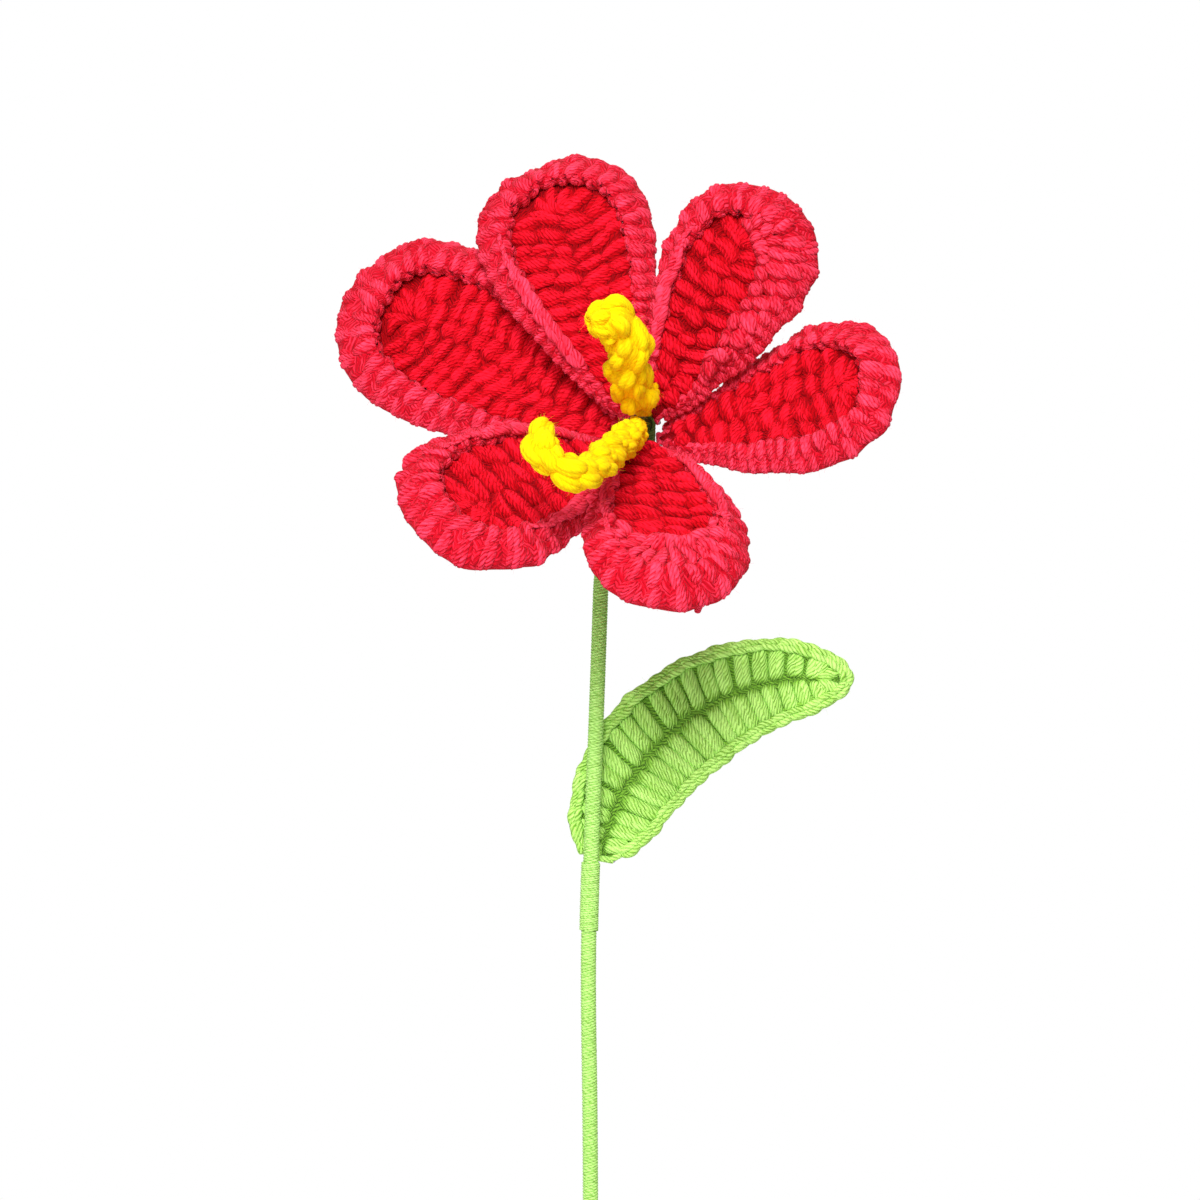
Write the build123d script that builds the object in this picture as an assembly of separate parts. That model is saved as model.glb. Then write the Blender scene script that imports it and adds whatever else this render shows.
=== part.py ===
from build123d import *
from math import cos, pi, radians, sin, sqrt, tan
import os

# A crocheted flower on a bendable stem: six wired petals, two stamens and one leaf, on a wire wound
# with thread. Millimetres. The origin is the foot of the stem, +Z runs up it, the flower faces -Y.

# Stem: a steel wire in a sleeve of close-wound thread
STEM_RADIUS = 2.0
STEM_WIRE_RADIUS = 1.25
STEM_FIT = 0.05
FOOT_LENGTH = 135.0
STEM_ROUTE = [(-0.75, 0, 180), (1.7, 0, 245), (2.9, 0, 280)]
BEND_SHARE = 0.45

# Flower head: where the petals meet, and how far its axis leans forward from upright
HEAD_CENTRE = (12.4, -10.0, 309.0)
HEAD_LEAN = 54.0
NECK_REACH = 20.0
NECK_BEND_RADIUS = 9.0

# Flower base: a core of wound yarn on the end of the stem, which carries petals and stamens
BASE_TOP = 4.0
BASE_BOTTOM = -13.0
BASE_TAPER = 3.0
BASE_FOOT_RADIUS = 2.9
STEM_END = -7.0
BASE_FIT = 0.1

# Wires inside the crochet, each with a cross bar at its root
WIRE_RADIUS = 0.5
WIRE_FIT = 0.1
SEAT_GAP = 0.3
BAR_RADIUS = 0.6
BAR_HALF = 1.5
PETAL_SEAT_RADIUS = 4.6

# Thread bindings: open turns over the neck, and a thin close-wound layer below the leaf
BINDING_GAP = 0.1
BINDING_TURN_GAP = 0.5
NECK_THREAD_RADIUS = 0.5
NECK_TURNS = 3
NECK_BINDING_START = -12.2
TAIL_LENGTH = 1.0
LEAF_BINDING_THICKNESS = 0.35
LEAF_BINDING_LENGTH = 18.0

# Petal: a crocheted panel inside a thick border worked over the petal's wire
PETAL_LENGTH = 69.5
PETAL_HALF_WIDTH = 17.3
PETAL_ROOT_POWER = 0.82
PETAL_TIP_POWER = 4.0
PETAL_ROOT = 2.0
PETAL_BORDER_ROOT = (1.2, 1.2)
PETAL_BORDER_TIP = (6.4, 3.3)
PETAL_BORDER_SLOPE = 32.0
PETAL_BORDER_RISE = 0.8
PETAL_PANEL_HALF_THICKNESS = 1.9
PETAL_PANEL_SAG = 1.6

# Each petal: azimuth about the axis, opening from it, bend, roll, size, seat along the axis
PETALS = {
    "right": (-1.5, 66, -7, 12.5, 0.84, -2.2),
    "upper_right": (46.5, 35.5, 24, 13.5, 0.85, 1.3),
    "top": (113.5, 56, 34, -13.5, 1.02, -0.4),
    "left": (146.5, 83.5, -2, -19, 1.11, -6.7),
    "lower_left": (226, 55, 24, -7.5, 0.96, -2.9),
    "bottom": (278, 52, 42, -8, 0.88, 1.2),
}

# Leaf: the same build, sickle shaped, on the back of the stem
LEAF_LENGTH = 84.0
LEAF_HALF_WIDTH = 12.3
LEAF_ROOT_POWER = 0.48
LEAF_TAPER = 0.88
LEAF_TIP_POWER = 20.0
LEAF_ROOT = 2.0
LEAF_BORDER_ROOT = (1.5, 1.5)
LEAF_BORDER_TIP = (1.7, 1.7)
LEAF_PANEL_HALF_THICKNESS = 1.6
LEAF_PANEL_SAG = 1.0
LEAF_FOOT = (2.7, 203.0)
LEAF_RISE = 80.0
LEAF_SICKLE = -88.0
LEAF_BEND = 10.0

# Stamens: lumpy cords on a wire, with their routes in the head's frame
CORD_ROOT_RADIUS = 1.7
CORD_ROOT_SHARE = 0.35
CORD_START = 0.05
CORD_LUMP = 0.08
CORD_LUMP_STATIONS = 4
CORD_DOME = 0.9
CORD_DOME_END = 0.4
CORD_BAR_HALF = 1.2
CORD_SEAT = BASE_TOP + SEAT_GAP + BAR_RADIUS
STAMENS = {
    "tall_stamen": (5.8, 5, [
        (0.8, 2.2), (0.3, 1.3, 10), (-1.6, -1.8, 18), (-3.6, -3.3, 28), (-3.4, -3.4, 36), (-6.8, -2.4, 43),
        (-12, -4.5, 45)]),
    "curled_stamen": (4.3, 7, [
        (-0.8, -2.2), (-1.6, -10, 13), (-5.2, -23.4, 24), (-9.9, -36, 33), (-15.1, -45.4, 40),
        (-20.5, -44.6, 43), (-23.3, -40, 45), (-21.5, -35.6, 46)]),
}

PANEL_GAP = 0.6
PANEL_LEAST_HALF = 0.9
RIM_STATIONS = 17
STEP = 1e-4


def oval(plane, across, thick):
    """An oval face of four arcs on a plane."""
    ends = [(across, 0), (0, thick), (-across, 0), (0, -thick)]
    arcs = []
    for (x0, y0), (x1, y1) in zip(ends, ends[1:] + ends[:1]):
        arcs.append(ThreePointArc((x0, y0), ((x0 + x1) * sqrt(0.5), (y0 + y1) * sqrt(0.5)), (x1, y1)))
    return plane * make_face(arcs)


def slid(plane, distance):
    """The plane moved along its own normal."""
    return Plane(origin=plane.origin + plane.z_dir * distance, x_dir=plane.x_dir, z_dir=plane.z_dir)


def tube(planes, across, thick=None):
    """A loft of ovals, one on each plane; sizes are single values or one for each plane."""
    across = across if isinstance(across, list) else [across] * len(planes)
    thick = thick or across
    return loft([oval(*section) for section in zip(planes, across, thick)])


def rod(start, end, radius):
    """A round rod with ball ends."""
    middle = Plane(origin=(start + end) * 0.5, z_dir=end - start)
    body = middle * Cylinder(radius, (end - start).length)
    return body + Pos(*start) * Sphere(radius) + Pos(*end) * Sphere(radius)


def turned(length, turn):
    """Along and aside distances after a length of arc that turns by an angle."""
    angle = radians(turn)
    if angle == 0:
        return length, 0.0
    radius = length / angle
    return radius * sin(angle), radius * (1 - cos(angle))


class Blade:
    """A petal or leaf in its own frame: X from its root bar to its tip, Y across, Z out of its face."""

    def __init__(self, length, half_width, powers, taper, root, border, slope, rise, panel, bend, sickle,
                 size):
        self.length = length * size
        self.half_width = half_width * size
        self.root_power, self.tip_power = powers
        self.taper = taper
        self.root_share = root / self.length
        self.border_root, self.border_tip = border
        self.slope = radians(slope)
        self.rise = rise
        self.half_thickness, self.sag = panel
        self.bend = bend
        self.sickle = sickle
        self.size = size
        self.peak = max(self.bulge(k / 200) for k in range(201))

    def bulge(self, share):
        """The outline's formula, before it is brought to the half width."""
        return share**self.root_power * (1 - self.taper * share) * sqrt(max(0.0, 1 - share**self.tip_power))

    def point(self, along, across, height):
        """A place on the flat pattern, carried onto the curved blade."""
        turn = self.sickle * along / self.length
        ahead, aside = turned(along, turn)
        ahead -= across * sin(radians(turn))
        aside += across * cos(radians(turn))
        angle = self.bend * ahead / self.length
        out, down = turned(ahead, angle)
        return Vector(out + height * sin(radians(angle)), aside, height * cos(radians(angle)) - down)

    def flat_rim(self, g):
        """Middle of the border on the flat pattern, from one root (-1) round the tip (0) to the other (1)."""
        share = self.root_share + (1 - self.root_share) * cos(g * pi / 2)
        side = 1 if g > 0 else -1
        return share * self.length, side * self.half_width * self.bulge(share) / self.peak

    def flat_out(self, g):
        """Unit vector on the flat pattern that points out of the outline."""
        a0, b0 = self.flat_rim(g - STEP)
        a1, b1 = self.flat_rim(g + STEP)
        reach = sqrt((a1 - a0) ** 2 + (b1 - b0) ** 2)
        return (b1 - b0) / reach, (a0 - a1) / reach

    def border_half(self, g):
        """Half the width and half the thickness of the border."""
        share = self.flat_rim(g)[0] / self.length
        return [(a + (b - a) * share) * self.size for a, b in zip(self.border_root, self.border_tip)]

    def rim_plane(self, g):
        """Plane across the border, its X sloping down and out of the blade."""
        along, across = self.flat_rim(g)
        height = self.rise * along / self.length
        here = self.point(along, across, height)
        ahead = self.point(*self.flat_rim(g + STEP), height)
        run = (ahead - self.point(*self.flat_rim(g - STEP), height)).normalized()
        up = (self.point(along, across, height + 1) - here).normalized()
        out = run.cross(up).normalized()
        return Plane(origin=here, x_dir=out * cos(self.slope) - up * sin(self.slope), z_dir=run)

    def rim_planes(self):
        return [self.rim_plane(2 * k / (RIM_STATIONS - 1) - 1) for k in range(RIM_STATIONS)]

    def tails(self):
        """Pairs of planes at the wire's two straight ends, from the root bar's line to the rim."""
        ends = self.rim_plane(-1), self.rim_plane(1)
        return [(slid(end, -end.origin.X / end.z_dir.X), end) for end in ends]

    def core(self, radius):
        """A round core inside the border, with both straight ends."""
        low, high = [tube(pair, radius) for pair in self.tails()]
        return tube(self.rim_planes(), radius) + low + high

    def border(self):
        """The thick worked edge, with the bore that its wire lies in."""
        halves = [self.border_half(2 * k / (RIM_STATIONS - 1) - 1) for k in range(RIM_STATIONS)]
        body = tube(self.rim_planes(), [h[0] for h in halves], [h[1] for h in halves])
        return body - self.core(WIRE_RADIUS + WIRE_FIT)

    def wire(self):
        """The wire loop inside the border, closed at its root by a straight bar."""
        first, last = [pair[0].origin for pair in self.tails()]
        span = last - first
        past = span.normalized() * max(BAR_RADIUS, BAR_HALF - span.length / 2)
        return self.core(WIRE_RADIUS) + rod(first - past, last + past, BAR_RADIUS)

    def inner_edge(self, g):
        """Edge of the panel on the flat pattern, just inside the border."""
        wide, thick = self.border_half(g)
        reach = sqrt((wide * cos(self.slope)) ** 2 + (thick * sin(self.slope)) ** 2) + PANEL_GAP
        along, across = self.flat_rim(g)
        out = self.flat_out(g)
        return along - out[0] * reach, across - out[1] * reach

    def panel(self):
        """The worked middle, sagging a little between its edges."""
        edges = [self.inner_edge(k / (RIM_STATIONS - 1)) for k in range(RIM_STATIONS - 1, 0, -1)]
        sections = []
        for along, half in edges:
            if half < PANEL_LEAST_HALF:
                continue
            here = self.point(along, 0, 0)
            run = self.point(along + STEP, 0, 0) - here
            plane = Plane(origin=here, x_dir=self.point(along, 1, 0) - here, z_dir=run)
            sections.append(plane * self.panel_section(half))
        return loft(sections)

    def panel_section(self, half):
        thick = self.half_thickness
        sag = self.sag * half / self.half_width
        return make_face([
            ThreePointArc((half, thick), (0, thick - sag), (-half, thick)),
            Line((-half, thick), (-half, -thick)),
            ThreePointArc((-half, -thick), (0, -thick - sag), (half, -thick)),
            Line((half, -thick), (half, thick)),
        ])


def carried_planes(path, shares):
    """Planes across a path, each turned as little as can be from the one before."""
    planes = []
    across = Vector(1, 0, 0)
    for share in shares:
        run = path % share
        across = (across - run * across.dot(run)).normalized()
        planes.append(Plane(origin=path @ share, x_dir=across, z_dir=run))
    return planes


def cord_radius(radius, lumps, share):
    """Radius of a stamen: it thins to its root, swells at each lump and ends in a dome."""
    grown = CORD_ROOT_RADIUS + (radius - CORD_ROOT_RADIUS) * min(1.0, share / CORD_ROOT_SHARE)
    into_dome = max(0.0, (share - CORD_DOME) / (1 - CORD_DOME))
    dome = sqrt(1 - (1 - CORD_DOME_END**2) * into_dome**2)
    return grown * dome * (1 - CORD_LUMP * cos(2 * pi * lumps * share))


def stamen(radius, lumps, route):
    """A lumpy cord, and the wire that it is worked over."""
    root = Vector(*route[0], CORD_SEAT)
    path = Spline(root, *route[1:])
    steps = CORD_LUMP_STATIONS * lumps
    shares = [CORD_START + (1 - CORD_START) * k / steps for k in range(steps + 1)]
    planes = carried_planes(path, shares)
    core = carried_planes(path, [0.0] + shares[:-1])
    cord = tube(planes, [cord_radius(radius, lumps, share) for share in shares])
    cord -= tube(core, WIRE_RADIUS + WIRE_FIT)
    aside = Vector(CORD_BAR_HALF, 0, 0)
    wire = tube(core[:-1], WIRE_RADIUS) + rod(root - aside, root + aside, BAR_RADIUS)
    return cord, wire


def biarc(p0, t0, p1, t1):
    """Two arcs that leave p0 along t0 and reach p1 along t1."""
    gap = p1 - p0
    both = t0 + t1
    spread = 2 * (1 - t0.dot(t1))
    middle = gap.dot(both)
    arm = (sqrt(middle * middle + spread * gap.dot(gap)) - middle) / spread
    joint = (p0 + t0 * arm + p1 - t1 * arm) * 0.5
    first = TangentArc(p0, joint, tangent=t0)
    return [first, TangentArc(joint, p1, tangent=(first % 1))]


def winding(radius, thread, turns, name):
    """One unbroken thread wound upward round the Z axis, with short straight ends."""
    pitch = 2 * thread + BINDING_TURN_GAP
    climb = pitch / (2 * pi)

    def place(angle):
        return Vector(radius * cos(angle), radius * sin(angle), climb * angle)

    def heading(angle):
        return Vector(-radius * sin(angle), radius * cos(angle), climb).normalized()

    quarter = pi / 2
    edges = []
    angles = [k * quarter for k in range(4 * turns + 1)]
    for low, high in zip(angles, angles[1:]):
        edges += biarc(place(low), heading(low), place(high), heading(high))
    ends = (angles[0], angles[-1])
    edges.insert(0, Line(place(ends[0]) - heading(ends[0]) * TAIL_LENGTH, place(ends[0])))
    edges.append(Line(place(ends[1]), place(ends[1]) + heading(ends[1]) * TAIL_LENGTH))
    path = Wire(edges)
    samples = [place(2 * pi * k / 48) for k in range(48 * turns)]
    apart = min((a - b).length for i, a in enumerate(samples) for b in samples[i + 24:i + 72])
    print(f"{name}: least gap between turns {apart - 2 * thread:.2f} mm, length {path.length:.0f} mm")
    return sweep(Plane(origin=path @ 0, z_dir=path % 0) * Circle(thread), path=path)


def stem_path(end):
    """The stem's centre line: straight runs joined by tangent arcs, up to the flower base."""
    corner = head.from_local_coords((0, 0, -NECK_REACH))
    points = [Vector(0, 0, 0), Vector(0, 0, FOOT_LENGTH)] + [Vector(*p) for p in STEM_ROUTE] + [corner, end]
    radii = []
    for a, b, c in zip(points, points[1:], points[2:]):
        half_turn = radians((b - a).get_angle(c - b)) / 2
        radii.append(BEND_SHARE * min((b - a).length, (c - b).length) / tan(half_turn))
    radii[-1] = NECK_BEND_RADIUS
    return FilletPolyline(*points, radius=radii)


def petal_plane(azimuth, opening, roll, seat):
    """A petal's own frame inside the head's frame."""
    out = Vector(cos(radians(azimuth)), sin(radians(azimuth)), 0)
    up = Vector(0, 0, 1)
    along = up * cos(radians(opening)) + out * sin(radians(opening))
    face = up * sin(radians(opening)) - out * cos(radians(opening))
    face = face * cos(radians(roll)) - face.cross(along) * sin(radians(roll))
    return Plane(origin=out * PETAL_SEAT_RADIUS + up * seat, x_dir=along, z_dir=face)


parts = {}
lean = radians(HEAD_LEAN)
head = Plane(origin=HEAD_CENTRE, x_dir=(1, 0, 0), z_dir=(0, -sin(lean), cos(lean)))

# Stem wire and its sleeve of wound thread
route = stem_path(head.from_local_coords((0, 0, STEM_END)))
foot = Plane.XY
parts["stem_wire"] = sweep(foot * Circle(STEM_WIRE_RADIUS), path=route)
sleeve = Circle(STEM_RADIUS) - Circle(STEM_WIRE_RADIUS + STEM_FIT)
parts["stem_wrap"] = sweep(foot * sleeve, path=route)

# Flower base, bored for the end of the stem
base_radius = PETAL_SEAT_RADIUS - BAR_RADIUS - SEAT_GAP
bore_radius = STEM_RADIUS + BASE_FIT
bore_top = STEM_END + BASE_FIT
profile = make_face(Polyline(
    (bore_radius, BASE_BOTTOM), (BASE_FOOT_RADIUS, BASE_BOTTOM), (base_radius, BASE_BOTTOM + BASE_TAPER),
    (base_radius, BASE_TOP), (0, BASE_TOP), (0, bore_top), (bore_radius, bore_top), close=True))
parts["flower_base"] = head * revolve(Plane.XZ * profile, Axis.Z)

# Thread bindings on the neck and on the stem below the leaf
neck_radius = base_radius + BINDING_GAP + NECK_THREAD_RADIUS
neck = winding(neck_radius, NECK_THREAD_RADIUS, NECK_TURNS, "neck_binding")
parts["neck_binding"] = head * (Pos(0, 0, NECK_BINDING_START) * neck)
leaf_x, leaf_z = LEAF_FOOT
layer_low = route.position_at(leaf_z - LEAF_BINDING_LENGTH, PositionMode.LENGTH)
layer_high = route.position_at(leaf_z, PositionMode.LENGTH)
layer_inside = STEM_RADIUS + BINDING_GAP
layer = Circle(layer_inside + LEAF_BINDING_THICKNESS) - Circle(layer_inside)
layer_foot = Plane(origin=layer_low, z_dir=layer_high - layer_low)
parts["leaf_binding"] = extrude(layer_foot * layer, LEAF_BINDING_LENGTH)

# Leaf, close behind the stem above its binding
leaf_y = STEM_RADIUS + SEAT_GAP + LEAF_BORDER_ROOT[1]
leaf = Blade(LEAF_LENGTH, LEAF_HALF_WIDTH, (LEAF_ROOT_POWER, LEAF_TIP_POWER), LEAF_TAPER, LEAF_ROOT,
             (LEAF_BORDER_ROOT, LEAF_BORDER_TIP), 0, 0, (LEAF_PANEL_HALF_THICKNESS, LEAF_PANEL_SAG),
             LEAF_BEND, LEAF_SICKLE, 1.0)
leaf_way = (cos(radians(LEAF_RISE)), 0, sin(radians(LEAF_RISE)))
leaf_place = Plane(origin=(leaf_x, leaf_y, leaf_z), x_dir=leaf_way, z_dir=(0, -1, 0)).location
parts["leaf_panel"] = leaf_place * leaf.panel()
parts["leaf_border"] = leaf_place * leaf.border()
parts["leaf_wire"] = leaf_place * leaf.wire()

# Petals
for name, (azimuth, opening, bend, roll, size, seat) in PETALS.items():
    petal = Blade(PETAL_LENGTH, PETAL_HALF_WIDTH, (PETAL_ROOT_POWER, PETAL_TIP_POWER), 0, PETAL_ROOT,
                  (PETAL_BORDER_ROOT, PETAL_BORDER_TIP), PETAL_BORDER_SLOPE, PETAL_BORDER_RISE,
                  (PETAL_PANEL_HALF_THICKNESS, PETAL_PANEL_SAG), bend, 0, size)
    place = head.location * petal_plane(azimuth, opening, roll, seat).location
    parts[f"{name}_petal_panel"] = place * petal.panel()
    parts[f"{name}_petal_border"] = place * petal.border()
    parts[f"{name}_petal_wire"] = place * petal.wire()

# Stamens
for name, (radius, lumps, points) in STAMENS.items():
    cord, wire = stamen(radius, lumps, points)
    parts[name] = head * cord
    parts[f"{name}_wire"] = head * wire

os.makedirs("parts", exist_ok=True)
for name, shape in parts.items():
    export_step(shape, f"parts/{name}.step")
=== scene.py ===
import bpy
import numpy as np
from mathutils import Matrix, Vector


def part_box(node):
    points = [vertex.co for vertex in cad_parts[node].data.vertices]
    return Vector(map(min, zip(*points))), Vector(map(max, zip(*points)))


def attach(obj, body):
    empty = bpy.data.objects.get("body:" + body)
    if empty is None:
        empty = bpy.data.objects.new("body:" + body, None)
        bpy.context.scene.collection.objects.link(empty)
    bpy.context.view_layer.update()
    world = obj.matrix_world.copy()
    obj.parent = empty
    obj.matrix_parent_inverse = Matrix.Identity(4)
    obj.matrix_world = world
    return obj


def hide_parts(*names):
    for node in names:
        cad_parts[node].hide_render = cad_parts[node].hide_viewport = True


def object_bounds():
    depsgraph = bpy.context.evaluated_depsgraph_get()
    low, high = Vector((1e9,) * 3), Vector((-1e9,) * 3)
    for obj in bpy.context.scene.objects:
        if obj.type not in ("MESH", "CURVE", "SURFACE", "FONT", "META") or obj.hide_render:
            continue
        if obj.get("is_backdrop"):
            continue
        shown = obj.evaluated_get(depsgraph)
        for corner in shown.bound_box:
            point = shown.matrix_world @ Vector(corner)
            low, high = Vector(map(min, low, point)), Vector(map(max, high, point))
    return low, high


# The crocheted flower as yarn: petals, leaf, stamens and windings are built from puffy strands that follow
# the CAD surfaces. Lengths are millimetres until a mesh is made.
# Random values come from one seeded generator.

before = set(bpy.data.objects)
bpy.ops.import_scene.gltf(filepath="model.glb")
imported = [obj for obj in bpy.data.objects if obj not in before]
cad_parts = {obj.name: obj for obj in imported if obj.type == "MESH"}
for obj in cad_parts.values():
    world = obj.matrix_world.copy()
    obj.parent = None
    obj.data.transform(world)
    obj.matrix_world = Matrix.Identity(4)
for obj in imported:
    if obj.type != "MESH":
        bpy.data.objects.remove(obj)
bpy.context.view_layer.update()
SEED = 20
MM = 0.001
rng = np.random.default_rng(SEED)

# Sizes shared with the CAD part
STEM_RADIUS = 2.0
FOOT_LENGTH = 135.0
STEM_ROUTE = [(-0.75, 0, 180), (1.7, 0, 245), (2.9, 0, 280)]
BEND_SHARE = 0.45
HEAD_CENTRE = np.array([12.4, -10.0, 309.0])
HEAD_LEAN = np.radians(54.0)
NECK_REACH = 20.0
NECK_BEND_RADIUS = 9.0
BASE_TOP, BASE_BOTTOM = 4.0, -13.0
BASE_RADIUS, BASE_FOOT_RADIUS = 3.7, 2.9
STEM_END = -7.0
NECK_BINDING = (-12.2, -7.7)
NECK_BINDING_RADIUS = 4.8
PETAL_SEAT_RADIUS = 4.6
BAR_RADIUS, BAR_HALF = 0.6, 1.5
# A flat pattern: powers shape the root and the tip, taper narrows it, root is where the border starts, slope
# tilts the border, rise lifts it and sickle turns the midline. Border gives half its width and thickness at
# the root and at the tip, panel half its thickness and its sag.
PETAL_SHAPE = dict(
    length=69.5, half_width=17.3, powers=(0.82, 4.0), taper=0.0, root=2.0, slope=32.0, rise=0.8,
    border=((1.2, 1.2), (6.4, 3.3)), panel=(1.9, 1.6), sickle=0.0)
# Azimuth, opening, bend and roll in degrees, size, and height of the seat on the base
PETALS = {
    "right": (-1.5, 66, -7, 12.5, 0.84, -2.2),
    "upper_right": (46.5, 35.5, 24, 13.5, 0.85, 1.3),
    "top": (113.5, 56, 34, -13.5, 1.02, -0.4),
    "left": (146.5, 83.5, -2, -19, 1.11, -6.7),
    "lower_left": (226, 55, 24, -7.5, 0.96, -2.9),
    "bottom": (278, 52, 42, -8, 0.88, 1.2),
}
# Extra fullness of each petal's yarn on its clockwise and its other side, as seen from the front
FULLER = {
    "right": (2.4, 1.4), "upper_right": (1.8, 0.2), "top": (0.2, 1.0),
    "left": (0.9, 1.8), "lower_left": (1.8, -0.4), "bottom": (-0.4, 2.0),
}
# Yarn gathered near the root on the same two sides, where the neighbours leave an open wedge
GATHERED = {"right": (1.8, 1.8)}
NOT_FULLER = (0.0, 0.0)
# Where that gathered yarn is, and how far it spreads, as shares of the blade's length
GATHER_AT, GATHER_SPREAD = 0.06, 0.07
LEAF_SHAPE = dict(
    length=84.0, half_width=12.4, powers=(0.48, 14.0), taper=0.8, root=2.0, slope=0.0, rise=0.0,
    border=((1.5, 1.5), (1.7, 1.7)), panel=(1.6, 1.0), sickle=-88.0)
LEAF_BEND = 10.0
LEAF_RISE = np.radians(80.0)
LEAF_FOOT = np.array([2.7, 3.8, 203.0])
LEAF_BINDING_RADIUS = 2.45
CORD_SEAT = 4.9
# Radius, lumps along the cord, bobbles round it, and its route in the head's frame
STAMENS = {
    "tall_stamen": (5.8, 5, 5, [
        (0.8, 2.2, CORD_SEAT), (0.3, 1.3, 10), (-1.6, -1.8, 18), (-3.6, -3.3, 28), (-3.4, -3.4, 36),
        (-6.8, -2.4, 43), (-12, -4.5, 45)]),
    "curled_stamen": (4.3, 7, 4, [
        (-0.8, -2.2, CORD_SEAT), (-1.6, -10, 13), (-5.2, -23.4, 24), (-9.9, -36, 33), (-15.1, -45.4, 40),
        (-20.5, -44.6, 43), (-23.3, -40, 45), (-21.5, -35.6, 46)]),
}

# Yarn: width of one ply on a strand's surface, and its slant to the strand
PLY = 0.64
PLY_SLANT = np.radians(34.0)
# Radius that a strand's open ends close to
END_POINT = 0.02
# Loose fibres on each piece
PANEL_FIBRES, BORDER_FIBRES, LEAF_FIBRES, STAMEN_FIBRES = 2500, 5000, 2000, 5000

# Hand work is uneven: a smooth field of small shifts, and how far it moves loose and neat work
UNEVEN, NEARLY_EVEN = 0.35, 0.2
WAVE_COUNT = 10
WAVE_LENGTHS = (8.0, 20.0)
WAVES = 2 * np.pi * rng.normal(0, 1, (WAVE_COUNT, 3)) / rng.uniform(*WAVE_LENGTHS, (WAVE_COUNT, 1))
WAVE_STARTS = rng.uniform(0, 2 * np.pi, WAVE_COUNT)
WAVE_SHIFTS = rng.normal(0, WAVE_COUNT**-0.5, (WAVE_COUNT, 3))

HEAD_AXES = np.array([
    [1.0, 0.0, 0.0],
    [0.0, np.cos(HEAD_LEAN), np.sin(HEAD_LEAN)],
    [0.0, -np.sin(HEAD_LEAN), np.cos(HEAD_LEAN)],
])


def unit(v):
    return v / np.linalg.norm(v, axis=-1, keepdims=True)


def head_to_world(points):
    return HEAD_CENTRE + np.asarray(points, float) @ HEAD_AXES


def lengths_along(line):
    return np.concatenate([[0], np.cumsum(np.linalg.norm(np.diff(line, axis=0), axis=1))])


def sample(values, spots, wanted):
    """Values given at spots, read off between them."""
    return np.stack([np.interp(wanted, spots, values[:, i]) for i in range(3)], -1)


def turned(length, turn):
    """Along and aside distances after an arc of that length that turns by an angle in degrees."""
    angle = np.radians(turn)
    angle = np.where(np.abs(angle) < 1e-6, 1e-6, angle)
    return length * np.sin(angle) / angle, length * (1 - np.cos(angle)) / angle


def swell(t, ends):
    """A strand's thickness along its length: thinner at its ends, full between them."""
    return ends + (1 - ends) * np.sin(np.pi * np.clip(t, 0, 1)) ** 0.6


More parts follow.
